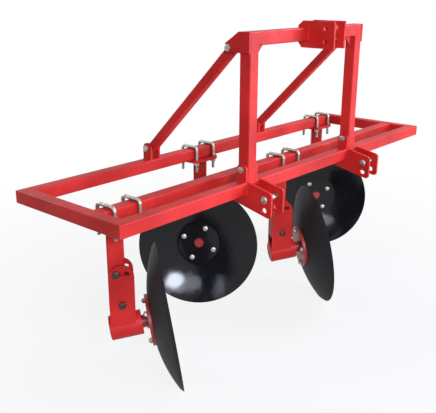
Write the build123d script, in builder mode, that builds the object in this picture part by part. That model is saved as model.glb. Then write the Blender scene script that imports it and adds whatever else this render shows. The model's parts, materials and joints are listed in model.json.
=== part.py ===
from build123d import *

import os
from math import atan, cos, hypot, radians, sin, tan

# A tractor-mounted disc ridger: a rectangular frame of square tube with a three-point mast,
# and four disc gangs clamped under its two tool-carrying beams.
# X runs along the beams, Y runs backwards from the tractor and Z is up.
# The origin lies on the ground, midway between the rims of the front and the rear discs.

# Frame of square tube
frame_length = 2100
tube = 50
tube_wall = 4
tube_corner = 5
tool_gap = 85
row_spacing = 385

# Mast, its feet and its rear braces
mast_spacing = 736
mast_shift = -17
mast_height = 553
gusset_leg = 50
gusset_thickness = 8
lug_thickness = 10
lug_width = 46
lug_bolt_height = 48
brace = 35
brace_wall = 3
brace_corner = 4
brace_end = 20
brace_offset = 5.5
brace_bolt_reach = 47
brace_bolt_drop = 58
head_plate_thickness = 8
head_plate_margin = 17
head_plate_shoulder = 14
mast_bolt = 16

# Top link plates
top_link_gap = 65
top_link_plate = 10
top_link_rise = 27
top_link_reach = 116
top_link_chamfer_run = 22
top_link_chamfer_rise = 18
top_link_hole = 19.5
top_link_hole_reach = 77
top_link_hole_pitch = 52

# Lower link plates
lower_link_spacing = 740
lower_link_gap = 65
lower_link_plate = 10
lower_link_reach = 112
lower_link_drop = 23
lower_link_depth = 125
lower_link_tail = 18
lower_link_tail_depth = 35
lower_link_corner = 14
lower_link_hole = 22.6
lower_link_hole_reach = 80
lower_link_hole_drop = 95
hitch_pin = 22
hitch_pin_head = 29
hitch_pin_dome = 7
hitch_pin_drop = 52

# Where the gangs are clamped: the outer ones from the ends of the frame, the inner ones from its middle
left_front_inset = 145
right_front_offset = 54
left_rear_offset = 87
right_rear_inset = 130

# Clamp plate and U-bolts, which stand wider than the beam, mostly behind it
u_bolt = 14
u_bolt_pitch = 114
u_bolt_front_gap = 2
u_bolt_rear_gap = 22
u_bolt_bend = 14
u_bolt_thread = 45
clamp_thickness = 12
clamp_end_margin = 25
clamp_side_margin = 18
clamp_corner = 30

# Shank and the hanger that tilts on it
shank = 60
shank_wall = 6
shank_corner = 7
shank_setback = 26
shank_below_pivot = 27
pivot_bolt = 16
pivot_forward = -10
pivot_drop = 310
slot_radius = 120
slot_start = 98.6
tilt_range = 19
cheek_thickness = 10
cheek_half_width = 45
cheek_above_slot = 30

# Bearing tube and what turns in it
axle_below_pivot = 99
housing_forward = 3
housing_length = 112
housing_wall = 5
housing_shoulder = 4
axle_diameter = 40
axle_shoulder = 3
axle_thread_step = 5
bearing_section = 20
bearing_width = 18
bearing_recess = 2
back_bearing_depth = 20
seal_width = 6
axle_nut_height = 14
cap_thickness = 5
cap_spigot = 4
cap_wall = 3
flange_face = 92
flange_thickness = 12
flange_margin = 19
boss_height = 10
boss_chamfer = 5

# Concave disc and its bolts
disc_diameter = 550
disc_thickness = 5
disc_depth = 59
disc_flat_margin = 8
disc_flat_blend = 80
disc_bow = 7
disc_bevel = 12
disc_angle = 39
disc_tilt = 8.5
disc_bolt = 12
disc_bolt_head = 25
disc_bolt_dome = 6
disc_bolt_circle = 152
disc_bolt_count = 4
disc_bolt_turn = 25

# How far each free-running disc has come to rest round its axle
left_front_rest = 20
right_front_rest = 53
left_rear_rest = 41
right_rear_rest = 7

# Fits
seat_clearance = 0.3
running_clearance = 0.05
bolt_clearance = 0.5

# Hexagon heads and nuts, as shares of the thread's diameter
hex_across = 1.5
head_height = 0.63
nut_height = 0.8
thread_past_nut = 0.35

# Sizes that follow from the ones above
axis_x = cos(radians(disc_angle))
axis_y = sin(radians(disc_angle))
tilt_cos = cos(radians(disc_tilt))
tilt_sin = sin(radians(disc_tilt))
disc_radius = disc_diameter / 2
flange_diameter = disc_bolt_circle + 2 * flange_margin
bearing_diameter = axle_diameter + 2 * bearing_section
housing_diameter = bearing_diameter + 2 * housing_wall
neck_diameter = axle_diameter + 2 * axle_shoulder
thread_diameter = axle_diameter - 2 * axle_thread_step
housing_back = -housing_length / 2
housing_front = housing_length / 2
back_bearing = housing_back + back_bearing_depth
front_bearing = housing_front - seal_width - bearing_width
axle_shoulder_at = front_bearing + bearing_width
axle_back = back_bearing - axle_nut_height
rim_station = flange_face + disc_thickness + disc_depth
u_bolt_width = tube + u_bolt + u_bolt_front_gap + u_bolt_rear_gap
u_bolt_setback = (u_bolt_rear_gap - u_bolt_front_gap) / 2
half_length = frame_length / 2
left_front_x = left_front_inset - half_length
right_rear_x = half_length - right_rear_inset

# Heights and rows, worked out from the discs standing on the ground
rim_forward = (housing_forward + rim_station * tilt_cos) * axis_y
axle_z = disc_radius * tilt_cos - rim_station * tilt_sin
underside_z = axle_z + axle_below_pivot + pivot_drop
beam_z = underside_z + tube / 2
top_z = underside_z + tube
mast_top_z = top_z + mast_height
tool_y = rim_forward - row_spacing / 2
rear_y = rim_forward + row_spacing / 2
front_y = tool_y - tube - tool_gap
front_face_y = front_y - tube / 2
mast_back_y = front_y + tube / 2
frame_depth = rear_y - front_y + tube
left_upright_x = mast_shift - mast_spacing / 2
right_upright_x = mast_shift + mast_spacing / 2
lug_bolt_z = top_z + lug_bolt_height
brace_bolt_y = mast_back_y + brace_bolt_reach
brace_bolt_z = mast_top_z - brace_bolt_drop
brace_inset = (tube - brace) / 2 - seat_clearance
left_brace_x = left_upright_x - brace_inset
right_brace_x = right_upright_x + brace_inset

# The pivot and the tilt bolt in a gang's side view, measured from under the beam
pivot_at = (pivot_forward, -pivot_drop)
tilt_bolt_at = (
    pivot_forward + slot_radius * cos(radians(slot_start)),
    slot_radius * sin(radians(slot_start)) - pivot_drop,
)


def write(piece, name):
    """Label a finished piece and write it to its own file."""
    piece.label = name
    export_step(piece, f"parts/{name}.step")


def write_group(pieces, name):
    """Write several separate solids that belong to one kind as one group."""
    write(Compound(children=[solid for piece in pieces for solid in piece.solids()]), name)


def facing_x(x, y, z, side=1):
    """A plane that looks along X, with Y to its right when it faces +X."""
    return Plane((x, y, z), x_dir=(0, 1, 0), z_dir=(side, 0, 0))


def square_tube(section, length, size=tube, wall=tube_wall, corner=tube_corner):
    """A length of hollow square tube, run from its section plane along the plane's normal."""
    with BuildPart() as stock:
        with BuildSketch(section):
            RectangleRounded(size, size, corner)
            Rectangle(size - 2 * wall, size - 2 * wall, mode=Mode.SUBTRACT)
        extrude(amount=length)
    return stock.part


def frame_mitre(x_side, y_side):
    """The plane of the welded mitre at one corner of the frame."""
    corner_y = front_face_y if y_side < 0 else front_face_y + frame_depth
    return Plane((x_side * half_length, corner_y, beam_z), z_dir=(x_side, -y_side, 0))


def mast_mitre(upright_x, x_side):
    """The plane of the welded mitre at one top corner of the mast."""
    return Plane((upright_x + x_side * tube / 2, front_y, mast_top_z), z_dir=(-x_side, 0, 1))


def cross_beam(centre_y, y_side):
    """The front or rear beam of the frame, mitred at both ends."""
    stock = square_tube(facing_x(-half_length, centre_y, beam_z), frame_length)
    with BuildPart() as beam:
        add(stock)
        for x_side in (-1, 1):
            split(bisect_by=frame_mitre(x_side, y_side), keep=Keep.BOTTOM)
    return beam.part


def end_tube(x_side):
    """The left or right end of the frame, mitred to the front and rear beams."""
    centre_x = x_side * (half_length - tube / 2)
    section = Plane((centre_x, front_face_y, beam_z), x_dir=(1, 0, 0), z_dir=(0, 1, 0))
    stock = square_tube(section, frame_depth)
    with BuildPart() as end:
        add(stock)
        for y_side in (-1, 1):
            split(bisect_by=frame_mitre(x_side, y_side), keep=Keep.TOP)
    return end.part


def upright(upright_x, x_side):
    """One upright of the mast, drilled for its foot bolt and mitred to the top bar."""
    stock = square_tube(Plane((upright_x, front_y, top_z)), mast_height)
    with BuildPart() as post:
        add(stock)
        split(bisect_by=mast_mitre(upright_x, x_side), keep=Keep.BOTTOM)
        with BuildSketch(facing_x(upright_x, front_y, lug_bolt_z)):
            Circle(mast_bolt / 2 + bolt_clearance)
        extrude(amount=tube, both=True, mode=Mode.SUBTRACT)
    return post.part


def brace_tube(brace_x):
    """A rear brace of lighter tube, drilled across at both ends above its middle line."""
    low = Vector(brace_x, rear_y, lug_bolt_z)
    run = Vector(brace_x, brace_bolt_y, brace_bolt_z) - low
    along = run.normalized()
    below = Vector(1, 0, 0).cross(along) * brace_offset
    section = Plane(low + below - along * brace_end, x_dir=(1, 0, 0), z_dir=along)
    stock = square_tube(section, run.length + 2 * brace_end, brace, brace_wall, brace_corner)
    with BuildPart() as member:
        add(stock)
        with BuildSketch(Plane(low, x_dir=along, z_dir=(1, 0, 0))):
            with Locations((0, 0), (run.length, 0)):
                Circle(mast_bolt / 2 + bolt_clearance)
        extrude(amount=brace, both=True, mode=Mode.SUBTRACT)
    return member.part


def lug_pair(centre_x, centre_y, held):
    """Two round-topped lugs that stand on a beam on either side of the tube they hold."""
    with BuildPart() as lugs:
        for side in (-1, 1):
            with BuildSketch(facing_x(centre_x + side * (held / 2 + seat_clearance), centre_y, top_z)):
                with Locations((0, lug_bolt_height / 2)):
                    Rectangle(lug_width, lug_bolt_height)
                with Locations((0, lug_bolt_height)):
                    Circle(lug_width / 2)
                    Circle(mast_bolt / 2 + bolt_clearance, mode=Mode.SUBTRACT)
            extrude(amount=side * lug_thickness)
    return lugs.part


def head_plate(upright_x, x_side):
    """The plate on the outside of a mast corner that takes the upper end of a brace."""
    low_z = brace_bolt_z - head_plate_margin
    back_y = brace_bolt_y + head_plate_margin
    with BuildPart() as plate:
        with BuildSketch(facing_x(upright_x + x_side * tube / 2, 0, 0)):
            with BuildLine():
                Polyline(
                    (front_face_y, low_z),
                    (front_face_y, mast_top_z),
                    (mast_back_y, mast_top_z),
                    (back_y, brace_bolt_z + head_plate_shoulder),
                    (back_y, low_z),
                    close=True,
                )
            make_face()
            with Locations((brace_bolt_y, brace_bolt_z)):
                Circle(mast_bolt / 2 + bolt_clearance, mode=Mode.SUBTRACT)
        extrude(amount=x_side * head_plate_thickness)
    return plate.part


def lower_link_pair(centre_x):
    """Two hitch plates hooked under the front beam on either side of a lower link."""
    nose_y = front_face_y - lower_link_reach
    tail_y = mast_back_y + lower_link_tail
    with BuildPart() as pair:
        for side in (-1, 1):
            with BuildSketch(facing_x(centre_x + side * lower_link_gap / 2, 0, 0)):
                with BuildLine():
                    Polyline(
                        (front_face_y, top_z),
                        (nose_y, top_z - lower_link_drop),
                        (nose_y, top_z - lower_link_depth),
                        (tail_y, underside_z - lower_link_tail_depth),
                        (tail_y, underside_z),
                        (front_face_y, underside_z),
                        close=True,
                    )
                make_face()
                fillet(vertices().group_by(Axis.X)[0], lower_link_corner)
                with Locations((front_face_y - lower_link_hole_reach, top_z)):
                    with Locations((0, -hitch_pin_drop), (0, -lower_link_hole_drop)):
                        Circle(lower_link_hole / 2, mode=Mode.SUBTRACT)
            extrude(amount=side * lower_link_plate)
    return pair.part


def hex_bolt(seat, diameter, grip):
    """A hexagon bolt with its head on the seat plane, run through the grip and a nut behind it."""
    with BuildPart() as bolt:
        with BuildSketch(seat):
            RegularPolygon(diameter * hex_across / 2, 6, major_radius=False)
        extrude(amount=diameter * head_height)
        with BuildSketch(seat):
            Circle(diameter / 2)
        extrude(amount=-grip - diameter * (nut_height + thread_past_nut))
    return bolt.part


def round_bolt(seat, diameter, head, dome, grip):
    """A round-headed bolt or pin on the seat plane, run through the grip and a nut behind it."""
    with BuildPart() as bolt:
        with BuildSketch(seat):
            Circle(diameter / 2)
        extrude(amount=-grip - diameter * (nut_height + thread_past_nut))
        with BuildSketch(seat):
            Circle(head / 2)
        extrude(amount=dome)
        top = bolt.faces().sort_by(Axis(seat.origin, seat.z_dir))[-1]
        fillet(top.edges(), dome - running_clearance)
    return bolt.part


def hex_nut(seat, diameter):
    """A hexagon nut that stands on the seat plane."""
    with BuildPart() as nut:
        with BuildSketch(seat):
            RegularPolygon(diameter * hex_across / 2, 6, major_radius=False)
            Circle(diameter / 2 + running_clearance, mode=Mode.SUBTRACT)
        extrude(amount=diameter * nut_height)
    return nut.part


def clamped_shank(under_beam, side_view):
    """The clamp plate under the beam with the square shank welded to it."""
    post = Plane(
        side_view.from_local_coords((-shank_setback, -seat_clearance - clamp_thickness, 0)),
        x_dir=side_view.x_dir,
        z_dir=(0, 0, -1),
    )
    with BuildPart() as piece:
        with BuildSketch(under_beam.offset(-seat_clearance)):
            with Locations((0, u_bolt_setback)):
                RectangleRounded(
                    u_bolt_pitch + 2 * clamp_end_margin, u_bolt_width + 2 * clamp_side_margin, clamp_corner
                )
                with GridLocations(u_bolt_pitch, u_bolt_width, 2, 2):
                    Circle(u_bolt / 2 + bolt_clearance, mode=Mode.SUBTRACT)
        extrude(amount=-clamp_thickness)
        with BuildSketch(post):
            RectangleRounded(shank, shank, shank_corner)
            Rectangle(shank - 2 * shank_wall, shank - 2 * shank_wall, mode=Mode.SUBTRACT)
        extrude(amount=pivot_drop + shank_below_pivot - seat_clearance - clamp_thickness)
        with BuildSketch(side_view):
            with Locations(pivot_at, tilt_bolt_at):
                Circle(pivot_bolt / 2 + bolt_clearance)
        extrude(amount=shank, both=True, mode=Mode.SUBTRACT)
    return piece.part


def u_bolt_bow(under_beam, x_offset):
    """One U-bolt bent square over the beam, with its legs through the clamp plate."""
    half_width = u_bolt_width / 2
    crown = tube + bolt_clearance + u_bolt / 2
    foot = -seat_clearance - clamp_thickness - u_bolt_thread
    middle = under_beam.from_local_coords((x_offset, u_bolt_setback, 0))
    across = Plane(middle, x_dir=(0, 1, 0), z_dir=(1, 0, 0))
    with BuildPart() as bow:
        with BuildLine(across) as centre_line:
            FilletPolyline(
                (-half_width, foot),
                (-half_width, crown),
                (half_width, crown),
                (half_width, foot),
                radius=u_bolt_bend,
            )
        with BuildSketch(Plane(centre_line.line @ 0, z_dir=centre_line.line % 0)):
            Circle(u_bolt / 2)
        sweep(path=centre_line.line)
    return bow.part


def u_bolt_nuts(under_beam):
    """The nuts on the U-bolts' legs, tightened against the clamp plate."""
    plate_foot = under_beam.offset(-seat_clearance - clamp_thickness)
    with BuildPart() as nuts:
        with BuildSketch(plate_foot):
            with Locations((0, u_bolt_setback)):
                with GridLocations(u_bolt_pitch, u_bolt_width, 2, 2):
                    RegularPolygon(u_bolt * hex_across / 2, 6, major_radius=False)
                    Circle(u_bolt / 2 + running_clearance, mode=Mode.SUBTRACT)
        extrude(amount=-u_bolt * nut_height)
    return nuts.part


def tilting_hanger(side_view, axle):
    """Two cheeks, each with its pivot hole and curved tilt slot, welded to the inclined bearing tube."""
    slot_top = slot_radius + cheek_above_slot - pivot_drop
    bearing_seat = bearing_diameter / 2 + running_clearance
    with BuildPart() as piece:
        for side in (-1, 1):
            with BuildSketch(side_view.offset(side * (shank / 2 + seat_clearance))):
                with Locations((pivot_forward, slot_top - cheek_half_width)):
                    Circle(cheek_half_width)
                    cheek_length = slot_top - cheek_half_width + pivot_drop + axle_below_pivot
                    Rectangle(2 * cheek_half_width, cheek_length, align=(Align.CENTER, Align.MAX))
                with Locations(pivot_at):
                    Circle(pivot_bolt / 2 + running_clearance, mode=Mode.SUBTRACT)
                with BuildLine(mode=Mode.PRIVATE):
                    travel = CenterArc(pivot_at, slot_radius, slot_start, -tilt_range)
                SlotArc(travel, pivot_bolt + 2 * seat_clearance, mode=Mode.SUBTRACT)
            extrude(amount=side * cheek_thickness)
        with BuildSketch(axle.offset(housing_back)):
            Circle(housing_diameter / 2)
        extrude(amount=housing_length)
        with BuildSketch(axle.offset(housing_back)):
            Circle(housing_diameter / 2 + seat_clearance)
        extrude(amount=-cap_thickness, mode=Mode.SUBTRACT)
        with BuildSketch(axle.offset(housing_back)):
            Circle(bearing_diameter / 2 - housing_shoulder)
        extrude(amount=housing_length, mode=Mode.SUBTRACT)
        with BuildSketch(axle.offset(housing_back)):
            Circle(bearing_seat)
        extrude(amount=back_bearing_depth + bearing_width, mode=Mode.SUBTRACT)
        with BuildSketch(axle.offset(front_bearing)):
            Circle(bearing_seat)
        extrude(amount=bearing_width + seal_width, mode=Mode.SUBTRACT)
    return piece.part


def hanger_fasteners(side_view):
    """The pivot bolt and the tilt bolt across the cheeks, each with its nut."""
    outside = shank / 2 + 2 * seat_clearance + cheek_thickness
    pieces = []
    for place in (pivot_at, tilt_bolt_at):
        near = Plane(side_view.from_local_coords((*place, outside)), z_dir=side_view.z_dir)
        far = Plane(side_view.from_local_coords((*place, -outside)), z_dir=-side_view.z_dir)
        pieces.append(hex_bolt(near, pivot_bolt, 2 * outside))
        pieces.append(hex_nut(far, pivot_bolt))
    return pieces


def turned(axle_view, profile):
    """A piece turned round the axle from its half section: stations along the axle and radii."""
    with BuildPart() as piece:
        with BuildSketch(axle_view):
            with BuildLine():
                Polyline(*profile, close=True)
            make_face()
        revolve(axis=Axis(axle_view.origin, axle_view.x_dir))
    return piece.part


def bearing(axle_view, start):
    """A sealed ball bearing, with the shield recessed between its two races on both faces."""
    end = start + bearing_width
    bore = axle_diameter / 2 + running_clearance
    outer = bearing_diameter / 2
    race = (outer - bore) / 3
    inner_lip = bore + race
    outer_lip = outer - race
    return turned(
        axle_view,
        [
            (start, bore),
            (start, inner_lip),
            (start + bearing_recess, inner_lip),
            (start + bearing_recess, outer_lip),
            (start, outer_lip),
            (start, outer),
            (end, outer),
            (end, outer_lip),
            (end - bearing_recess, outer_lip),
            (end - bearing_recess, inner_lip),
            (end, inner_lip),
            (end, bore),
        ],
    )


def seal_ring(axle_view):
    """The seal at the disc end of the bearing tube, running on the neck of the axle."""
    bore = neck_diameter / 2 + running_clearance
    outer = bearing_diameter / 2
    start = axle_shoulder_at
    return turned(axle_view, [(start, bore), (start, outer), (housing_front, outer), (housing_front, bore)])


def bearing_cap(axle_view):
    """The pressed cap that closes the back end of the bearing tube."""
    back = housing_back - cap_thickness
    outer = housing_diameter / 2
    spigot = bearing_diameter / 2
    return turned(
        axle_view,
        [
            (back, 0),
            (back, outer - cap_thickness),
            (back + cap_thickness / 2, outer),
            (housing_back, outer),
            (housing_back, spigot),
            (housing_back + cap_spigot, spigot),
            (housing_back + cap_spigot, spigot - cap_wall),
            (back + cap_wall, spigot - cap_wall),
            (back + cap_wall, 0),
        ],
    )


def axle_nut(axle):
    """The nut that draws the axle's shoulder against the bearings."""
    with BuildPart() as nut:
        with BuildSketch(axle.offset(back_bearing)):
            RegularPolygon(thread_diameter * hex_across / 2, 6, major_radius=False)
            Circle(thread_diameter / 2 + running_clearance, mode=Mode.SUBTRACT)
        extrude(amount=-axle_nut_height)
    return nut.part


def flanged_axle(axle, axle_view):
    """The axle with its bolting flange and the boss that centres the disc."""
    stock = turned(
        axle_view,
        [
            (axle_back, 0),
            (axle_back, thread_diameter / 2),
            (back_bearing, thread_diameter / 2),
            (back_bearing, axle_diameter / 2),
            (axle_shoulder_at, axle_diameter / 2),
            (axle_shoulder_at, neck_diameter / 2),
            (flange_face - flange_thickness, neck_diameter / 2),
            (flange_face - flange_thickness, flange_diameter / 2),
            (flange_face, flange_diameter / 2),
            (flange_face, neck_diameter / 2),
            (flange_face + boss_height - boss_chamfer, neck_diameter / 2),
            (flange_face + boss_height, neck_diameter / 2 - boss_chamfer),
            (flange_face + boss_height, 0),
        ],
    )
    with BuildPart() as piece:
        add(stock)
        with BuildSketch(axle.offset(flange_face)):
            with PolarLocations(disc_bolt_circle / 2, disc_bolt_count, disc_bolt_turn):
                Circle(disc_bolt / 2 + bolt_clearance)
        extrude(amount=-flange_thickness, mode=Mode.SUBTRACT)
    return piece.part


def concave_disc(axle, axle_view):
    """The concave disc: a flat centre blended into a bowed dish, with a cutting edge ground on its back."""
    flat = flange_diameter / 2 + disc_flat_margin
    rise = disc_radius - flat
    rim_slope = atan(disc_depth / rise) + 2 * atan(2 * disc_bow / hypot(rise, disc_depth))
    bevel_station = rim_station - disc_bevel * tan(rim_slope) - disc_thickness / cos(rim_slope)
    hole = neck_diameter / 2 + seat_clearance
    front_flat = (flange_face + disc_thickness, flat)
    back_flat = (flange_face, flat)
    back_edge = (bevel_station, disc_radius - disc_bevel)
    rim = (rim_station, disc_radius)
    with BuildPart() as disc:
        with BuildSketch(axle_view):
            with BuildLine():
                Polyline(front_flat, (flange_face + disc_thickness, hole), (flange_face, hole), back_flat)
                SagittaArc(back_flat, back_edge, disc_bow)
                Line(back_edge, rim)
                SagittaArc(rim, front_flat, -disc_bow)
            make_face()
            fillet(vertices().sort_by_distance(front_flat)[0], disc_flat_blend)
            fillet(vertices().sort_by_distance(back_flat)[0], disc_flat_blend + disc_thickness)
        revolve(axis=Axis(axle_view.origin, axle_view.x_dir))
        with BuildSketch(axle.offset(flange_face)):
            with PolarLocations(disc_bolt_circle / 2, disc_bolt_count, disc_bolt_turn):
                Circle(disc_bolt / 2 + bolt_clearance)
        extrude(amount=disc_thickness, mode=Mode.SUBTRACT)
    return disc.part


def disc_fasteners(axle):
    """Round-headed bolts in the dish, and their nuts behind the flange."""
    grip = disc_thickness + flange_thickness
    with PolarLocations(disc_bolt_circle / 2, disc_bolt_count, disc_bolt_turn) as circle:
        centres = [place.position for place in circle.local_locations]
    dish = axle.offset(flange_face + disc_thickness)
    behind = axle.offset(flange_face - flange_thickness)
    pieces = []
    for centre in centres:
        head = Plane(dish.from_local_coords(centre), z_dir=axle.z_dir)
        back = Plane(behind.from_local_coords(centre), z_dir=-axle.z_dir)
        pieces.append(round_bolt(head, disc_bolt, disc_bolt_head, disc_bolt_dome, grip))
        pieces.append(hex_nut(back, disc_bolt))
    return pieces


def write_gang(name, gang_x, gang_y, facing, rest):
    """Build one disc gang under a beam, with its disc facing along +X or -X and left turned to its rest."""
    level = Vector(facing * axis_x, -axis_y, 0)
    across = level.cross(Vector(0, 0, 1))
    inclined = level * tilt_cos + Vector(0, 0, tilt_sin)
    under_beam = Plane((gang_x, gang_y, underside_z))
    side_view = Plane(under_beam.origin, x_dir=level, z_dir=across)
    centre = side_view.from_local_coords((housing_forward, -pivot_drop - axle_below_pivot, 0))
    turned_across = across * cos(radians(rest)) + inclined.cross(across) * sin(radians(rest))
    axle = Plane(centre, x_dir=turned_across, z_dir=inclined)
    axle_view = Plane(centre, x_dir=inclined, z_dir=across)
    write(clamped_shank(under_beam, side_view), f"{name}_shank")
    bows = [u_bolt_bow(under_beam, side * u_bolt_pitch / 2) for side in (-1, 1)]
    write_group([*bows, u_bolt_nuts(under_beam)], f"{name}_u_bolts")
    write(tilting_hanger(side_view, axle), f"{name}_hanger")
    write_group(hanger_fasteners(side_view), f"{name}_hanger_bolts")
    bearings = [bearing(axle_view, start) for start in (back_bearing, front_bearing)]
    write_group([*bearings, seal_ring(axle_view)], f"{name}_bearings")
    write(bearing_cap(axle_view), f"{name}_bearing_cap")
    write(axle_nut(axle), f"{name}_axle_nut")
    write(flanged_axle(axle, axle_view), f"{name}_axle")
    write(concave_disc(axle, axle_view), f"{name}_disc")
    write_group(disc_fasteners(axle), f"{name}_disc_bolts")


os.makedirs("parts", exist_ok=True)

# Rectangular frame, with the tool beam welded between its end tubes
write(cross_beam(front_y, -1), "front_beam")
write(cross_beam(rear_y, 1), "rear_beam")
write(end_tube(-1), "left_end_tube")
write(end_tube(1), "right_end_tube")
write(square_tube(facing_x(tube - half_length, tool_y, beam_z), frame_length - 2 * tube), "tool_beam")

# Mast: two uprights, the bar mitred across them and the corner gussets
write(upright(left_upright_x, -1), "left_upright")
write(upright(right_upright_x, 1), "right_upright")

bar_stock = square_tube(
    facing_x(left_upright_x - tube / 2, front_y, mast_top_z - tube / 2), mast_spacing + tube
)
with BuildPart() as top_bar:
    add(bar_stock)
    split(bisect_by=mast_mitre(left_upright_x, -1), keep=Keep.TOP)
    split(bisect_by=mast_mitre(right_upright_x, 1), keep=Keep.TOP)
write(top_bar.part, "mast_top_bar")

with BuildPart() as corner_gussets:
    for inward, upright_x in ((1, left_upright_x), (-1, right_upright_x)):
        with BuildSketch(Plane((upright_x, front_y, mast_top_z - tube), x_dir=(1, 0, 0), z_dir=(0, -1, 0))):
            with BuildLine():
                Polyline(
                    (inward * tube / 2, 0),
                    (inward * (tube / 2 + gusset_leg), 0),
                    (inward * tube / 2, -gusset_leg),
                    close=True,
                )
            make_face()
        extrude(amount=gusset_thickness / 2, both=True)
write(corner_gussets.part, "mast_corner_gussets")

# Feet of the mast, braces behind it and the bolts through them
write_group([lug_pair(x, front_y, tube) for x in (left_upright_x, right_upright_x)], "upright_foot_lugs")
write_group([lug_pair(x, rear_y, brace) for x in (left_brace_x, right_brace_x)], "brace_foot_lugs")
write_group([head_plate(left_upright_x, -1), head_plate(right_upright_x, 1)], "brace_head_plates")
write(brace_tube(left_brace_x), "left_brace")
write(brace_tube(right_brace_x), "right_brace")

lugs_outside = seat_clearance + lug_thickness
mast_bolts = []
mast_nuts = []
for side, upright_x, brace_x in ((-1, left_upright_x, left_brace_x), (1, right_upright_x, right_brace_x)):
    head_outside = upright_x + side * (tube / 2 + head_plate_thickness)
    head_inside = brace_x - side * brace / 2
    joints = [
        (upright_x - tube / 2 - lugs_outside, upright_x + tube / 2 + lugs_outside, front_y, lug_bolt_z),
        (brace_x - brace / 2 - lugs_outside, brace_x + brace / 2 + lugs_outside, rear_y, lug_bolt_z),
        (min(head_outside, head_inside), max(head_outside, head_inside), brace_bolt_y, brace_bolt_z),
    ]
    for left_x, right_x, bolt_y, bolt_z in joints:
        mast_bolts.append(hex_bolt(facing_x(left_x, bolt_y, bolt_z, -1), mast_bolt, right_x - left_x))
        mast_nuts.append(hex_nut(facing_x(right_x, bolt_y, bolt_z), mast_bolt))
write_group(mast_bolts, "mast_bolts")
write_group(mast_nuts, "mast_nuts")

# Top link plates, notched from behind over the top bar
with BuildPart() as top_link_plates:
    for side in (-1, 1):
        with BuildSketch(facing_x(side * top_link_gap / 2, front_face_y, mast_top_z - tube / 2)):
            with Locations(((tube - top_link_reach) / 2, 0)):
                Rectangle(tube + top_link_reach, tube + 2 * top_link_rise)
            chamfer(vertices().group_by(Axis.X)[-1], top_link_chamfer_rise, top_link_chamfer_run)
            with Locations((tube / 2, 0)):
                Rectangle(tube, tube, mode=Mode.SUBTRACT)
            with Locations((-top_link_hole_reach, 0)):
                with GridLocations(0, top_link_hole_pitch, 1, 2):
                    Circle(top_link_hole / 2, mode=Mode.SUBTRACT)
        extrude(amount=side * top_link_plate)
write(top_link_plates.part, "top_link_plates")

# Lower link plates and the hitch pins in their upper holes
left_link_x = -lower_link_spacing / 2
right_link_x = lower_link_spacing / 2
write(lower_link_pair(left_link_x), "left_lower_link_plates")
write(lower_link_pair(right_link_x), "right_lower_link_plates")

link_outside = lower_link_gap / 2 + lower_link_plate
pin_y = front_face_y - lower_link_hole_reach
pin_z = top_z - hitch_pin_drop
hitch_pins = []
for link_x in (left_link_x, right_link_x):
    head_seat = facing_x(link_x - link_outside, pin_y, pin_z, -1)
    nut_seat = facing_x(link_x + link_outside, pin_y, pin_z)
    hitch_pins.append(round_bolt(head_seat, hitch_pin, hitch_pin_head, hitch_pin_dome, 2 * link_outside))
    hitch_pins.append(hex_nut(nut_seat, hitch_pin))
write_group(hitch_pins, "hitch_pins")

# Four disc gangs: the front pair under the tool beam, the rear pair under the rear beam
write_gang("left_front", left_front_x, tool_y, 1, left_front_rest)
write_gang("right_front", right_front_offset, tool_y, 1, right_front_rest)
write_gang("left_rear", -left_rear_offset, rear_y, -1, left_rear_rest)
write_gang("right_rear", right_rear_x, rear_y, -1, right_rear_rest)
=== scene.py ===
import json
from math import atan2, cos, pi, radians, sin, sqrt, tan

import bmesh
import bpy
from bpy.props import FloatProperty, FloatVectorProperty, IntProperty, PointerProperty
from bpy.types import Operator, Panel, PropertyGroup
from mathutils import Matrix, Vector


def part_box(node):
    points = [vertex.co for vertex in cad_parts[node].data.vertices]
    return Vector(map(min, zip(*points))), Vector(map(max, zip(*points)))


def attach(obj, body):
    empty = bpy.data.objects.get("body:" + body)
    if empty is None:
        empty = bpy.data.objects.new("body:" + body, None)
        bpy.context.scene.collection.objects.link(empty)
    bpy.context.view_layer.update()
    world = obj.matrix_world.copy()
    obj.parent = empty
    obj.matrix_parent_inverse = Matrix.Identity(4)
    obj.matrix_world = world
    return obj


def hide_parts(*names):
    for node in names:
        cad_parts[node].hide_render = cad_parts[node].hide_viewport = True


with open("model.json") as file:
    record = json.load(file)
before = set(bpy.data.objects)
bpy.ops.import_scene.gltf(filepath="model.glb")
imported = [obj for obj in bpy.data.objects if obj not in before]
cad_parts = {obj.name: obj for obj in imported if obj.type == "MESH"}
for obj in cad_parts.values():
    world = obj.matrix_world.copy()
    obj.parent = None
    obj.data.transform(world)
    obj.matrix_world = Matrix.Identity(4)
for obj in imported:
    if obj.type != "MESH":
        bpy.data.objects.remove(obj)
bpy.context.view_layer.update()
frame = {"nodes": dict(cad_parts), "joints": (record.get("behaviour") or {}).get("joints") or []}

bl_info = {
    "name": "Disc ridger dressing",
    "version": (1, 0, 0),
    "blender": (4, 5, 0),
    "location": "View3D > Sidebar > Ridger",
    "description": "Paints a mounted disc ridger, adds its fasteners and welds, and sets up the studio",
    "category": "Object",
}

GANGS = ("left_front", "right_front", "left_rear", "right_rear")
JOINTS = {joint["name"]: joint for joint in frame["joints"]}
UP = Vector((0, 0, 1))
RIGHT = Vector((1, 0, 0))
BACK = Vector((0, 1, 0))
WHITE = (1, 1, 1, 1)
DISC_BOLTS = 4

# Proportions of the fasteners, in radii of their bolts
ACROSS_FLATS = 3
HEAD_HEIGHT = 1.26
NUT_HEIGHT = 1.6
WASHER_RADIUS = 1.9
PAST_NUT = 0.7
PITCHES_TO_RADIUS = 3.5

# Proportions of a thread, in pitches: its ridge starts a little inside the rod under it
THREAD_DEPTH = 0.6
ROD_DEPTH = 0.5
RIDGE_WIDTH = 0.98

# A hexagon's face inside its turned-off corners, in widths across flats, and the slope of those corners
FACE_RADIUS = 0.48
CORNER_SLOPE = radians(30)

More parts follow.
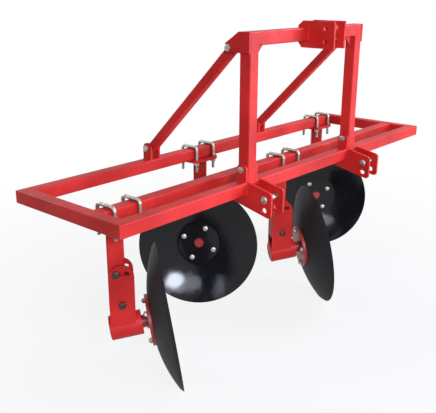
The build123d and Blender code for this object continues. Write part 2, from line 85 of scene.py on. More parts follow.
# A round head's straight skirt, in heights of the head, and how far the U-bolts' nuts stand out of line
SKIRT_HEIGHT = 0.25
NUT_SKEW = 0.3

# Bevels, in thicknesses of a washer and in radii of a rod
WASHER_BEVEL = 0.2
ROD_BEVEL = 0.15

# Edges sharper than the first angle are bevelled, and those under the second are shaded smooth
SHARP_EDGE = radians(60)
SMOOTH_EDGE = radians(35)

# Sockets of a Mix node for colours, which share their names with its sockets for numbers
MIX_A, MIX_B, MIX_RESULT = 6, 7, 2

# Place of each light, and the width and height of its oval, in metres, and the camera's sensor in millimetres
LIGHTS = {
    "key": ((3.3, -5.6, 1.35), (4.0, 2.6)),
    "sky": ((-2.95, -3.25, 2.6), (3.0, 1.3)),
    "cloud": ((-2.5, -3.15, 2.15), (1.1, 0.95)),
    "top": ((2.9, -1.4, 3.4), (2.0, 1.5)),
    "back": ((-0.8, 4.6, 2.6), (2.4, 1.8)),
}
SENSOR_WIDTH = 36


def mm(value):
    """A length in millimetres, in the metres that the scene is built in."""
    return value * 0.001


def linear(code):
    """An sRGB hex colour as linear red, green and blue."""
    channels = [int(code[i:i + 2], 16) / 255 for i in (1, 3, 5)]
    return tuple(c / 12.92 if c <= 0.04045 else ((c + 0.055) / 1.055) ** 2.4 for c in channels)


def per_mm(size):
    """The scale of a texture whose features are this many millimetres across."""
    return 1000 / size


def colour(name, description, code):
    """A colour that the user can change, with its default from a hex value."""
    return FloatVectorProperty(name=name, description=description, subtype="COLOR", size=3,
                               min=0, max=1, default=linear(code))


def length(name, description, millimetres):
    """A length that the user can change, with its default in millimetres."""
    return FloatProperty(name=name, description=description, unit="LENGTH", min=0,
                         default=mm(millimetres))


def angle(name, description, degrees):
    """An angle that the user can change, with its default in degrees."""
    return FloatProperty(name=name, description=description, subtype="ANGLE", default=radians(degrees))


def share(name, description, part):
    """A share of a full size that the user can change, from a half up."""
    return FloatProperty(name=name, description=description, subtype="FACTOR", min=0.5, max=1, default=part)


def power(name, description, watts):
    """The power of a light, which the user can change."""
    return FloatProperty(name=name, description=description, unit="POWER", min=0, default=watts)


class RidgerFinish(PropertyGroup):
    """Colours of the painted and plated surfaces."""

    enamel: colour("Red enamel", "Main colour of the painted steel", "#cb2722")
    enamel_deep: colour("Deep red", "Where the enamel lies thicker", "#ac1915")
    # Painted shade: a darker red for the axles' flanges and bosses, which lie in shadow behind the discs
    axle_shade: colour("Axle shade", "Colour of the axles' flanges and bosses", "#8a2a26")
    disc: colour("Black enamel", "Colour of the painted discs", "#141417")
    zinc: colour("Zinc", "Colour of the plated fasteners", "#b6b3aa")
    zinc_dull: colour("Dull zinc", "Where the plating has dulled", "#7f7a70")
    oxide: colour("Black oxide", "Colour of the blackened hanger bolts", "#4a413d")
    bearing: colour("Bearing steel", "Colour of the bearings and seals", "#77797c")


class RidgerFasteners(PropertyGroup):
    """Sizes of the bolts, nuts and washers, and of what they hold."""

    u_bolt: length("U-bolt", "Diameter of the U-bolts", 14)
    u_bolt_pitch: length("U-bolt pitch", "Distance between a gang's two U-bolts", 114)
    u_bolt_width: length("U-bolt width", "Distance between the legs of a U-bolt", 88)
    u_bolt_bend: length("U-bolt bend", "Bend radius at the U-bolts' middle line", 14)
    pivot_bolt: length("Hanger bolt", "Diameter of the pivot and tilt bolts", 16)
    slot_radius: length("Slot radius", "Distance from the pivot bolt to the tilt bolt", 120)
    slot_start: angle("Tilt bolt angle", "Angle of the tilt bolt about the pivot", 98.6)
    disc_bolt: length("Disc bolt", "Diameter of the bolts through a disc", 12)
    disc_bolt_head: length("Disc bolt head", "Diameter of the round heads in the dish", 25)
    disc_bolt_circle: length("Disc bolt circle", "Diameter of the circle of disc bolts", 152)
    disc_bolt_turn: angle("Disc bolt turn", "Turn of the first disc bolt", 25)
    disc_rest: FloatVectorProperty(name="Disc rest", unit="ROTATION", size=4,
                                   description="How far each disc has come to rest round its axle",
                                   default=[radians(turn) for turn in (20, 53, 41, 7)])
    disc_front: length("Disc seat", "Distance along the axle to the dish's flat", 97)
    flange_back: length("Flange back", "Distance along the axle to the back of the flange", 80)
    clamp_plate: length("Clamp plate", "Thickness of the clamp plates", 12)
    cheeks: length("Cheeks", "Width over a hanger's two cheeks", 80.6)
    mast_bolt: length("Mast bolt", "Diameter of the mast bolts", 16)
    upright_lugs: length("Upright lugs", "Width over the lugs beside an upright", 70.6)
    brace_lugs: length("Brace lugs", "Width over the lugs beside a brace's foot", 55.6)
    brace_head: length("Brace head", "Width over a head plate and a brace", 43.3)
    lug_bolt_height: length("Lug bolt height", "Height of the lug bolts over the beams", 48)
    head_plate_margin: length("Head plate margin", "From a brace's upper bolt to its plate's edges", 17)
    hitch_pin: length("Hitch pin", "Diameter of the hitch pins", 22)
    hitch_pin_head: length("Hitch pin head", "Diameter of the hitch pins' round heads", 29)
    hitch_pin_dome: length("Hitch pin dome", "Height of the hitch pins' round heads", 7)
    washer: length("Washer", "Thickness of the washers", 2.5)
    thread_steps: IntProperty(name="Thread steps", description="Sides to one turn of thread",
                              min=8, max=48, default=16)


class RidgerWelds(PropertyGroup):
    """Size of the weld beads, and the edges that they run along."""

    shank: length("Shank", "Width of the square shanks", 60)
    shank_corner: length("Shank corner", "How far the beads stop short of a shank's corners", 6)
    shank_back: length("Shank setback", "From a hanger's pivot back to the middle of its shank", 16)
    tube: length("Bearing tube", "Diameter of the bearing tubes", 90)
    cheek_back: length("Cheek back", "From the middle of a bearing tube to the back of its cheeks", 52)
    cheek_front: length("Cheek front", "From the middle of a bearing tube to the front of its cheeks", 31)
    link_plate: length("Link plate", "Thickness of the lower link plates", 10)
    head_plate: length("Head plate", "Thickness of the plates at the braces' heads", 8)
    margin: length("Margin", "How far the beads stop short of a tube's corners", 3)
    width: length("Bead", "Half width of a full weld bead", 3.2)
    ripple: length("Ripple", "Distance between the ripples of a bead", 3.0)
    dip: share("Dip", "Width of a bead between two ripples", 0.84)
    lug_bead: share("Lug bead", "Size of the beads under the lugs", 0.9)
    plate_bead: share("Plate bead", "Size of the beads along the head and link plates", 0.8)
    gusset_bead: share("Gusset bead", "Size of the beads along the gussets", 0.7)


class RidgerStudio(PropertyGroup):
    """Camera, light and floor."""

    lens: FloatProperty(name="Lens", description="Focal length of the camera", subtype="DISTANCE_CAMERA",
                        default=54.31)
    yaw: angle("Yaw", "Turn of the view from straight behind the tractor", 49.1)
    pitch: angle("Pitch", "How far the view looks down", 18.42)
    roll: angle("Roll", "Tilt of the camera about the view", 0.25)
    camera: FloatVectorProperty(name="Camera", description="Where the camera stands", subtype="TRANSLATION",
                                unit="LENGTH", size=3, default=(-2.2950, -1.7360, 1.40974))
    key: power("Key light", "Power of the wide, soft light on the front", 440)
    sky: power("Sky light", "Power of the wide light that the dishes mirror", 75)
    cloud: power("Cloud light", "Power of the bright patch that the dishes mirror", 114)
    top: power("Top light", "Power of the soft light from high on the right", 150)
    back: power("Back light", "Power of the soft light from behind", 120)
    aim: length("Aim", "Height that the lights point at", 600)
    cool: colour("Daylight", "Colour of the lights", "#e4ebff")
    ambient: FloatProperty(name="Ambient", description="Strength of the light from all round", min=0,
                           default=0.05)
    floor: length("Floor", "Half width of the floor", 12000)
    paper: FloatProperty(name="Paper", description="Grey of the floor where light falls on it",
                         subtype="FACTOR", min=0, max=1, default=0.5)
    pool_white: share("Pool white", "Share of white by the machine, where its shadow falls", 0.85)
    pool_start: length("Pool start", "How far out the floor starts to turn white", 600)
    pool_end: length("Pool end", "How far out the floor is wholly white", 2600)


# Materials

def add_node(tree, kind, inputs=None, **settings):
    """Add a node with its settings, its values and its links."""
    node = tree.nodes.new(kind)
    for name, value in settings.items():
        setattr(node, name, value)
    for socket, value in (inputs or {}).items():
        if isinstance(value, bpy.types.NodeSocket):
            tree.links.new(value, node.inputs[socket])
        else:
            node.inputs[socket].default_value = value
    return node


def new_material(name):
    """An empty node material with its output and the piece's own coordinates."""
    material = bpy.data.materials.new(name)
    material.use_nodes = True
    tree = material.node_tree
    tree.nodes.clear()
    output = tree.nodes.new("ShaderNodeOutputMaterial")
    place = tree.nodes.new("ShaderNodeTexCoord").outputs["Object"]
    return material, tree, output, place


def red_enamel(finish):
    """Alkyd enamel sprayed on steel: an even gloss with a slight orange peel, drifting between two reds."""
    material, tree, output, place = new_material("alkyd_enamel_sprayed_red")
    drift = add_node(tree, "ShaderNodeTexNoise", {
        "Vector": place, "Scale": per_mm(220), "Detail": 3,
    }).outputs[0]
    thick = add_node(tree, "ShaderNodeMapRange", {
        "Value": drift, "From Min": 0.35, "From Max": 0.65,
    }).outputs[0]
    base = add_node(tree, "ShaderNodeMix", {
        "Factor": thick, MIX_A: (*finish.enamel, 1), MIX_B: (*finish.enamel_deep, 1),
    }, data_type="RGBA").outputs[MIX_RESULT]
    dust = add_node(tree, "ShaderNodeTexNoise", {
        "Vector": place, "Scale": per_mm(45), "Detail": 6, "Roughness": 0.7,
    }).outputs[0]
    haze = add_node(tree, "ShaderNodeMapRange", {
        "Value": dust, "From Min": 0.3, "From Max": 0.7, "To Min": 0.42, "To Max": 0.54,
    }).outputs[0]
    # Coarser than a real peel, which is too fine to show
    peel = add_node(tree, "ShaderNodeTexNoise", {
        "Vector": place, "Scale": per_mm(4), "Detail": 2,
    }).outputs[0]
    bump = add_node(tree, "ShaderNodeBump", {
        "Strength": 0.08, "Distance": mm(0.4), "Height": peel,
    }).outputs[0]
    shader = add_node(tree, "ShaderNodeBsdfPrincipled", {
        "Base Color": base, "Roughness": haze, "Normal": bump, "IOR": 1.31,
    })
    tree.links.new(shader.outputs[0], output.inputs[0])
    return material


def shaded_axle_red(finish):
    """A darker, duller red for the axles: painted shade for their flanges and bosses, which lie in shadow
    behind the discs, with a slight grain and a weak sheen.
    """
    material, tree, output, place = new_material("oxide_primer_brushed_red")
    grain = add_node(tree, "ShaderNodeTexNoise", {
        "Vector": place, "Scale": per_mm(8), "Detail": 4,
    }).outputs[0]
    base = add_node(tree, "ShaderNodeMix", {
        "Factor": grain, MIX_A: (*finish.axle_shade, 1), MIX_B: (*finish.enamel_deep, 1),
    }, data_type="RGBA").outputs[MIX_RESULT]
    haze = add_node(tree, "ShaderNodeMapRange", {
        "Value": grain, "From Min": 0.3, "From Max": 0.7, "To Min": 0.35, "To Max": 0.5,
    }).outputs[0]
    bump = add_node(tree, "ShaderNodeBump", {
        "Strength": 0.1, "Distance": mm(0.3), "Height": grain,
    }).outputs[0]
    shader = add_node(tree, "ShaderNodeBsdfPrincipled", {
        "Base Color": base, "Roughness": haze, "Normal": bump,
    })
    tree.links.new(shader.outputs[0], output.inputs[0])
    return material


def black_enamel(finish, name, centre, axis):
    """Stoved black enamel on spun steel: a deep gloss in the dish with faint rings, duller on its back."""
    material, tree, output, place = new_material(f"stoved_enamel_black_{name}")
    from_centre = add_node(tree, "ShaderNodeVectorMath", {0: place, 1: centre},
                           operation="SUBTRACT").outputs[0]
    across = add_node(tree, "ShaderNodeVectorMath", {0: from_centre, 1: axis},
                      operation="CROSS_PRODUCT").outputs[0]
    radius = add_node(tree, "ShaderNodeVectorMath", {0: across}, operation="LENGTH").outputs["Value"]
    # Wider apart than real spinning marks, which are too fine to show
    phase = add_node(tree, "ShaderNodeMath", {0: radius, 1: per_mm(7) * 2 * pi},
                     operation="MULTIPLY").outputs[0]
    rings = add_node(tree, "ShaderNodeMath", {0: phase}, operation="SINE").outputs[0]
    wobble = add_node(tree, "ShaderNodeTexNoise", {
        "Vector": place, "Scale": per_mm(60), "Detail": 1,
    }).outputs[0]
    height = add_node(tree, "ShaderNodeMath", {0: rings, 1: 0.02, 2: wobble},
                      operation="MULTIPLY_ADD").outputs[0]
    bump = add_node(tree, "ShaderNodeBump", {
        "Strength": 0.3, "Distance": mm(2), "Height": height,
    }).outputs[0]
    facing = add_node(tree, "ShaderNodeTexCoord").outputs["Normal"]
    front = add_node(tree, "ShaderNodeVectorMath", {0: facing, 1: axis},
                     operation="DOT_PRODUCT").outputs["Value"]
    dust = add_node(tree, "ShaderNodeTexNoise", {
        "Vector": place, "Scale": per_mm(25), "Detail": 5,
    }).outputs[0]
    dull = add_node(tree, "ShaderNodeMapRange", {
        "Value": front, "From Min": -0.2, "From Max": 0.2, "To Min": 0.6, "To Max": 0.03,
    }).outputs[0]
    haze = add_node(tree, "ShaderNodeMath", {0: dust, 1: 0.14, 2: dull},
                    operation="MULTIPLY_ADD").outputs[0]
    shader = add_node(tree, "ShaderNodeBsdfPrincipled", {
        "Base Color": (*finish.disc, 1), "Roughness": haze, "Normal": bump, "IOR": 1.33,
    })
    tree.links.new(shader.outputs[0], output.inputs[0])
    return material


def zinc_plate(finish):
    """Bright zinc plated on steel: a soft metal gloss, cloudy where the passivation has dulled."""
    material, tree, output, place = new_material("zinc_electroplated_bright")
    cloud = add_node(tree, "ShaderNodeTexNoise", {
        "Vector": place, "Scale": per_mm(9), "Detail": 5,
    }).outputs[0]
    dulled = add_node(tree, "ShaderNodeMapRange", {
        "Value": cloud, "From Min": 0.4, "From Max": 0.7,
    }).outputs[0]
    base = add_node(tree, "ShaderNodeMix", {
        "Factor": dulled, MIX_A: (*finish.zinc, 1), MIX_B: (*finish.zinc_dull, 1),
    }, data_type="RGBA").outputs[MIX_RESULT]
    haze = add_node(tree, "ShaderNodeMapRange", {
        "Value": cloud, "From Min": 0.3, "From Max": 0.7, "To Min": 0.36, "To Max": 0.55,
    }).outputs[0]
    # Coarser than the real grain, which is too fine to show
    grain = add_node(tree, "ShaderNodeTexNoise", {
        "Vector": place, "Scale": per_mm(1.2), "Detail": 2,
    }).outputs[0]
    bump = add_node(tree, "ShaderNodeBump", {
        "Strength": 0.1, "Distance": mm(0.2), "Height": grain,
    }).outputs[0]
    shader = add_node(tree, "ShaderNodeBsdfPrincipled", {
        "Base Color": base, "Metallic": 1, "Roughness": haze, "Normal": bump,
    })
    tree.links.new(shader.outputs[0], output.inputs[0])
    return material


def black_oxide(finish):
    """Forged steel blackened in hot oxide and oiled: a dark metal with a soft, slightly patchy sheen."""
    material, tree, output, place = new_material("steel_blackened_oiled")
    patch = add_node(tree, "ShaderNodeTexNoise", {
        "Vector": place, "Scale": per_mm(6), "Detail": 4,
    }).outputs[0]
    haze = add_node(tree, "ShaderNodeMapRange", {
        "Value": patch, "From Min": 0.3, "From Max": 0.7, "To Min": 0.3, "To Max": 0.5,
    }).outputs[0]
    bump = add_node(tree, "ShaderNodeBump", {
        "Strength": 0.15, "Distance": mm(0.2), "Height": patch,
    }).outputs[0]
    shader = add_node(tree, "ShaderNodeBsdfPrincipled", {
        "Base Color": (*finish.oxide, 1), "Metallic": 1, "Roughness": haze, "Normal": bump,
    })
    tree.links.new(shader.outputs[0], output.inputs[0])
    return material


def ground_steel(finish):
    """Hardened bearing steel, ground: a grey metal with an even grit."""
    material, tree, output, place = new_material("bearing_steel_ground")
    # Coarser than the real grit, which is too fine to show
    grit = add_node(tree, "ShaderNodeTexNoise", {
        "Vector": place, "Scale": per_mm(2), "Detail": 4,
    }).outputs[0]
    haze = add_node(tree, "ShaderNodeMapRange", {
        "Value": grit, "From Min": 0.3, "From Max": 0.7, "To Min": 0.25, "To Max": 0.4,
    }).outputs[0]
    shader = add_node(tree, "ShaderNodeBsdfPrincipled", {
        "Base Color": (*finish.bearing, 1), "Metallic": 1, "Roughness": haze,
    })
    tree.links.new(shader.outputs[0], output.inputs[0])
    return material


def plated():
    """The zinc finish that the bright fasteners share."""
    return bpy.data.materials.get("zinc_electroplated_bright") or zinc_plate(bpy.context.scene.ridger_finish)


def give(node, material):
    """Give a CAD node its finished surface."""
    data = frame["nodes"][node].data
    data.materials.clear()
    data.materials.append(material)


# Shapes, each made about its own Z and then joined to a piece at its placement

def towards(origin, axis, across=None):
    """A placement whose Z runs along the axis, with X towards the across direction where one is given."""
    z = Vector(axis).normalized()
    # Without one, any direction well off the axis serves
    x = Vector(across) if across else (RIGHT if abs(z.x) < 0.9 else BACK)
    x = (x - z * x.dot(z)).normalized()
    turn = Matrix((x, z.cross(x), z)).transposed().to_4x4()
    return Matrix.Translation(Vector(origin)) @ turn


def along(distance):
    """A shift along the placement's own Z."""
    return Matrix.Translation(UP * distance)


def join(piece, shape, place):
    """Move a finished shape to its placement and add it to a piece."""
    bmesh.ops.transform(shape, matrix=place, verts=shape.verts)
    data = bpy.data.meshes.new("shape")
    shape.to_mesh(data)
    shape.free()
    piece.from_mesh(data)
    bpy.data.meshes.remove(data)


def edges_of(verts):
    """The edges round a loop of vertices."""
    return list({edge for vert in verts for edge in vert.link_edges})


def verts_of(ring):
    """The vertices round a loop of edges."""
    return list({vert for edge in ring for vert in edge.verts})


def carry(shape, ring, step):
    """Extrude a ring of edges by a step and give back the new ring."""
    new = bmesh.ops.extrude_edge_only(shape, edges=ring)["geom"]
    verts = [item for item in new if isinstance(item, bmesh.types.BMVert)]
    bmesh.ops.translate(shape, verts=verts, vec=step)
    return [item for item in new if isinstance(item, bmesh.types.BMEdge)]


def hexagon(across, height, both_ends=False):
    """A bolt head or nut with its corners turned off at the top, or at both ends."""
    shape = bmesh.new()
    flat = across * FACE_RADIUS
    loops = []
    for level, capped in ((0, True), (0, False), (height, False), (height, True)):
        verts = bmesh.ops.create_circle(shape, cap_ends=capped, segments=24, radius=flat,
                                        matrix=along(level))["verts"]
        for vert in verts if not capped else ():
            reach = across / 2 / cos(atan2(vert.co.y, vert.co.x) % (pi / 3) - pi / 6)
            drop = (reach - flat) * tan(CORNER_SLOPE)
            vert.co.xy = vert.co.xy.normalized() * reach
            vert.co.z += -drop if level else drop * both_ends
        loops.append(edges_of(verts))
    for lower, upper in zip(loops, loops[1:]):
        bmesh.ops.bridge_loops(shape, edges=[*lower, *upper])
    return shape


def washer(radius, thickness):
    """A plain round washer with its rims broken."""
    shape = bmesh.new()
    bmesh.ops.create_cone(shape, cap_ends=True, segments=32, radius1=radius, radius2=radius, depth=thickness,
                          matrix=along(thickness / 2))
    rims = [edge for edge in shape.edges if edge.calc_face_angle(0) > SHARP_EDGE]
    bmesh.ops.bevel(shape, geom=rims, offset=thickness * WASHER_BEVEL, segments=2, profile=0.5,
                    affect="EDGES", material=-1)
    return shape


def rod(radius, height):
    """A plain round bar with a chamfered end."""
    shape = bmesh.new()
    bmesh.ops.create_cone(shape, cap_ends=True, segments=24, radius1=radius, radius2=radius, depth=height,
                          matrix=along(height / 2))
    end = [edge for edge in shape.edges if edge.calc_face_angle(0) > SHARP_EDGE and edge.verts[0].co.z > 0]
    bmesh.ops.bevel(shape, geom=end, offset=radius * ROD_BEVEL, segments=1, profile=0.5, affect="EDGES",
                    material=-1)
    return shape


def thread(radius, pitch, height, steps):
    """A screw thread wound up round Z from the three sides of one ridge and closed at both ends."""
    shape = bmesh.new()
    root = radius - pitch * THREAD_DEPTH
    width = pitch * RIDGE_WIDTH
    turns = max(1, round(height / pitch) - 1)
    ridge = [shape.verts.new(place) for place in ((root, 0, 0), (radius, 0, width / 2), (root, 0, width))]
    sides = [shape.edges.new(pair) for pair in zip(ridge, [*ridge[1:], ridge[0]])]
    bmesh.ops.spin(shape, geom=[*ridge, *sides], cent=(0, 0, 0), axis=UP, dvec=UP * pitch / steps,
                   angle=turns * 2 * pi, steps=turns * steps, use_duplicate=False)
    bmesh.ops.holes_fill(shape, edges=[edge for edge in shape.edges if edge.is_boundary])
    return shape


def dome(radius, height, skirt):
    """A low round bolt head on a short straight skirt."""
    shape = bmesh.new()
    bmesh.ops.create_uvsphere(shape, u_segments=28, v_segments=14, radius=radius)
    bmesh.ops.bisect_plane(shape, geom=[*shape.verts, *shape.edges, *shape.faces], plane_co=(0, 0, 0),
                           plane_no=UP, clear_inner=True)
    bmesh.ops.scale(shape, vec=(1, 1, (height - skirt) / radius), verts=shape.verts)
    bmesh.ops.translate(shape, vec=UP * skirt, verts=shape.verts)
    foot = carry(shape, [edge for edge in shape.edges if edge.is_boundary], -UP * skirt)
    bmesh.ops.edgeloop_fill(shape, edges=foot)
    return shape


def bead(run, radius, ripple, dip):
    """A rippled weld bead that runs along Z."""
    shape = bmesh.new()
    count = max(2, round(run / (ripple / 2)))
    ring = edges_of(bmesh.ops.create_circle(shape, cap_ends=True, segments=8, radius=radius * dip)["verts"])
    for index in range(count):
        ring = carry(shape, ring, UP * run / count)
        size = 1 / dip if index % 2 == 0 else dip
        bmesh.ops.scale(shape, vec=(size, size, 1), verts=verts_of(ring))
    bmesh.ops.edgeloop_fill(shape, edges=ring)
    return shape


def fit_nut(piece, seat, radius, past, steps, lift=0.0):
    """A nut on a seat, on a washer where it is lifted by one, with the threaded end standing out past it."""
    height = radius * NUT_HEIGHT
    pitch = radius / PITCHES_TO_RADIUS
    run = lift + height + past
    if lift:
        join(piece, washer(radius * WASHER_RADIUS, lift), seat)
    join(piece, hexagon(radius * ACROSS_FLATS, height, True), seat @ along(lift))
    join(piece, thread(radius, pitch, run, steps), seat)
    join(piece, rod(radius - pitch * ROD_DEPTH, run), seat)


def fit_shank(piece, seat, radius, grip, steps, lift=0.0):
    """A bolt's plain shank, run back from its seat through the grip, with its nut."""
    far_end = seat @ along(-grip)
    join(piece, rod(radius, grip), far_end)
    fit_nut(piece, far_end @ Matrix.Rotation(pi, 4, "X"), radius, radius * PAST_NUT, steps, lift)


def fit_bolt(piece, seat, radius, grip, steps):
    """A hexagon bolt with its head on the seat, run back through the grip to its nut."""
    join(piece, hexagon(radius * ACROSS_FLATS, radius * HEAD_HEIGHT), seat)
    fit_shank(piece, seat, radius, grip, steps)


def fit_round_bolt(piece, seat, radius, head, height, grip, steps, lift=0.0):
    """A round-headed bolt or pin with its head on the seat, run back through the grip to its nut."""
    join(piece, dome(head / 2, height, height * SKIRT_HEIGHT), seat)
    fit_shank(piece, seat, radius, grip, steps, lift)


def run_bead(piece, start, end, welds, size=1.0):
    """A weld bead from one point to another."""
    run = Vector(end) - Vector(start)
    join(piece, bead(run.length, welds.width * size, welds.ripple, welds.dip), towards(start, run))


def finish_piece(bm, name, body, material, slot, *nodes):
    """Turn a bmesh into a piece that rides on a body and stands for the CAD nodes it replaces."""
    bmesh.ops.remove_doubles(bm, verts=bm.verts, dist=mm(0.001))
    bmesh.ops.recalc_face_normals(bm, faces=bm.faces)
    for edge in bm.edges:
        edge.smooth = edge.calc_face_angle(0) < SMOOTH_EDGE
    for face in bm.faces:
        face.smooth = True
    mesh = bpy.data.meshes.new(name)
    bm.to_mesh(mesh)
    bm.free()
    mesh.materials.append(material)
    piece = bpy.data.objects.new(name, mesh)
    bpy.context.scene.collection.objects.link(piece)
    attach(piece, body)
    if nodes:
        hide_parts(*nodes)


def gang_planes(gang):
    """A gang's pivot, its disc's level direction, the direction across it, and its axle's middle and line."""
    tilt, spin = JOINTS[f"{gang}_tilt"], JOINTS[f"{gang}_disc_spin"]
    across = Vector(tilt["axis"])
    return Vector(tilt["pos_m"]), UP.cross(across), across, Vector(spin["pos_m"]), Vector(spin["axis"])


def lug_widths(fasteners):
    """The nodes of the lugs on the beams, each with the width over a pair of them."""
    return ("upright_foot_lugs", fasteners.upright_lugs), ("brace_foot_lugs", fasteners.brace_lugs)


class RIDGER_OT_paint(Operator):
    """Spray the frame, mast, shanks and hangers with red enamel, and give the axles a darker red as painted
    shade
    """

    bl_idname = "ridger.paint"
    bl_label = "Paint the steel"

    def execute(self, context):
        enamel = red_enamel(context.scene.ridger_finish)
        # The axles get a darker red, painted shade for their flanges and bosses in shadow behind the discs
        axle_shade = shaded_axle_red(context.scene.ridger_finish)
        bare = ("_disc", "_bolts", "_nuts", "_pins", "_nut", "_bearings")
        for node in frame["nodes"]:
            if not node.endswith(bare):
                give(node, axle_shade if node.endswith("_axle") else enamel)
        return {"FINISHED"}


class RIDGER_OT_discs(Operator):
    """Give each disc its black enamel, with the rings about its own axle"""

    bl_idname = "ridger.discs"
    bl_label = "Blacken the discs"

    def execute(self, context):
        for gang in GANGS:
            spin = JOINTS[f"{gang}_disc_spin"]
            give(f"{gang}_disc", black_enamel(context.scene.ridger_finish, gang, spin["pos_m"], spin["axis"]))
        return {"FINISHED"}


class RIDGER_OT_bearings(Operator):
    """Give the bearings and the axle nuts inside the tubes their bare steel"""

    bl_idname = "ridger.bearings"
    bl_label = "Finish the bearings"

    def execute(self, context):
        steel = ground_steel(context.scene.ridger_finish)
        for gang in GANGS:
            give(f"{gang}_bearings", steel)
            give(f"{gang}_axle_nut", steel)
        return {"FINISHED"}


class RIDGER_OT_u_bolts(Operator):
    """Bend the U-bolts over the beams, with threaded legs, washers and nuts under the clamp plates"""

    bl_idname = "ridger.u_bolts"
    bl_label = "Fit the U-bolts"

    def execute(self, context):
        fasteners = context.scene.ridger_fasteners
        radius = fasteners.u_bolt / 2
        half_width = fasteners.u_bolt_width / 2
        for gang in GANGS:
            low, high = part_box(f"{gang}_u_bolts")
            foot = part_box(f"{gang}_shank")[1].z - fasteners.clamp_plate
            middle = (low + high) / 2
            past = foot - low.z - fasteners.washer - radius * NUT_HEIGHT
            piece = bmesh.new()
            for x in (-1, 1):
                bow_x = middle.x + x * fasteners.u_bolt_pitch / 2
                bow = self.bow(radius, half_width, high.z - radius - foot, fasteners.u_bolt_bend)
                join(piece, bow, Matrix.Translation((bow_x, middle.y, foot)))
                for y in (-1, 1):
                    leg = (bow_x, middle.y + y * half_width, foot)
                    seat = towards(leg, -UP, (1, NUT_SKEW * x * y, 0))
                    fit_nut(piece, seat, radius, past, fasteners.thread_steps, fasteners.washer)
            finish_piece(piece, f"{gang}_u_bolt_set", f"{gang}_clamp", plated(), "zinc_plate",
                         f"{gang}_u_bolts")
        return {"FINISHED"}

    def bow(self, radius, half_width, height, bend):
        """A bow of round bar: up one leg, over the beam with two tight bends, and down the other leg."""
        shape = bmesh.new()
        start = Matrix.Translation((0, -half_width, 0))
        foot = bmesh.ops.create_circle(shape, cap_ends=True, segments=20, radius=radius,
                                       matrix=start)["verts"]
        ring = carry(shape, edges_of(foot), UP * (height - bend))
        for side in (-1, 1):
            centre = (0, side * (half_width - bend), height - bend)
            turned = bmesh.ops.spin(shape, geom=[*verts_of(ring), *ring], cent=centre, axis=RIGHT,
                                    angle=-pi / 2, steps=8, use_duplicate=False)["geom_last"]
            ring = [item for item in turned if isinstance(item, bmesh.types.BMEdge)]
            step = BACK * 2 * (half_width - bend) if side < 0 else -UP * (height - bend)
            ring = carry(shape, ring, step)
        bmesh.ops.edgeloop_fill(shape, edges=ring)
        return shape


class RIDGER_OT_hanger_bolts(Operator):
    """Fit the pivot bolt and the tilt bolt through each hanger's cheeks"""

    bl_idname = "ridger.hanger_bolts"
    bl_label = "Fit the hanger bolts"

    def execute(self, context):
        fasteners = context.scene.ridger_fasteners
        radius = fasteners.pivot_bolt / 2
        half = fasteners.cheeks / 2
        turn = fasteners.slot_start
        oxide = black_oxide(context.scene.ridger_finish)
        for gang in GANGS:
            pivot, level, across, _, _ = gang_planes(gang)
            tilt_bolt = pivot + fasteners.slot_radius * (level * cos(turn) + UP * sin(turn))
            piece = bmesh.new()
            for centre in (pivot, tilt_bolt):
                seat = towards(centre + across * half, across, level)
                fit_bolt(piece, seat, radius, 2 * half, fasteners.thread_steps)
            finish_piece(piece, f"{gang}_hanger_bolt_set", f"{gang}_clamp", oxide, "bearing_steel",
                         f"{gang}_hanger_bolts")
        return {"FINISHED"}


class RIDGER_OT_disc_bolts(Operator):
    """Fit the round-headed bolts in each dish, with their nuts behind the flange"""

    bl_idname = "ridger.disc_bolts"
    bl_label = "Fit the disc bolts"

    def execute(self, context):
        fasteners = context.scene.ridger_fasteners
        radius = fasteners.disc_bolt / 2
        reach = fasteners.disc_bolt_circle / 2
        grip = fasteners.disc_front - fasteners.flange_back
        for gang, rest in zip(GANGS, fasteners.disc_rest):
            _, _, across, axle, axis = gang_planes(gang)
            piece = bmesh.new()
            for index in range(DISC_BOLTS):
                turn = fasteners.disc_bolt_turn + rest + index * 2 * pi / DISC_BOLTS
                out = across * cos(turn) + axis.cross(across) * sin(turn)
                seat = towards(axle + out * reach + axis * fasteners.disc_front, axis, out)
                fit_round_bolt(piece, seat, radius, fasteners.disc_bolt_head, radius, grip,
                               fasteners.thread_steps)
            finish_piece(piece, f"{gang}_disc_bolt_set", f"{gang}_disc", plated(), "zinc_plate",
                         f"{gang}_disc_bolts")
        return {"FINISHED"}


class RIDGER_OT_mast_bolts(Operator):
    """Fit the bolts through the mast's feet and the ends of the braces"""

    bl_idname = "ridger.mast_bolts"
    bl_label = "Fit the mast bolts"

    def execute(self, context):
        fasteners = context.scene.ridger_fasteners
        seats = []
        for lugs, width in lug_widths(fasteners):
            low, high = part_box(lugs)
            middle, level = (low.y + high.y) / 2, low.z + fasteners.lug_bolt_height
            seats += [((x, middle, level), width) for x in (low.x, high.x - width)]
        low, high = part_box("brace_head_plates")
        margin, width = fasteners.head_plate_margin, fasteners.brace_head
        seats += [((x, high.y - margin, low.z + margin), width) for x in (low.x, high.x - width)]
        piece = bmesh.new()
        for seat, width in seats:
            place = towards(seat, -RIGHT, BACK)
            fit_bolt(piece, place, fasteners.mast_bolt / 2, width, fasteners.thread_steps)
        finish_piece(piece, "mast_bolt_set", "frame", plated(), "zinc_plate", "mast_bolts", "mast_nuts")
        return {"FINISHED"}


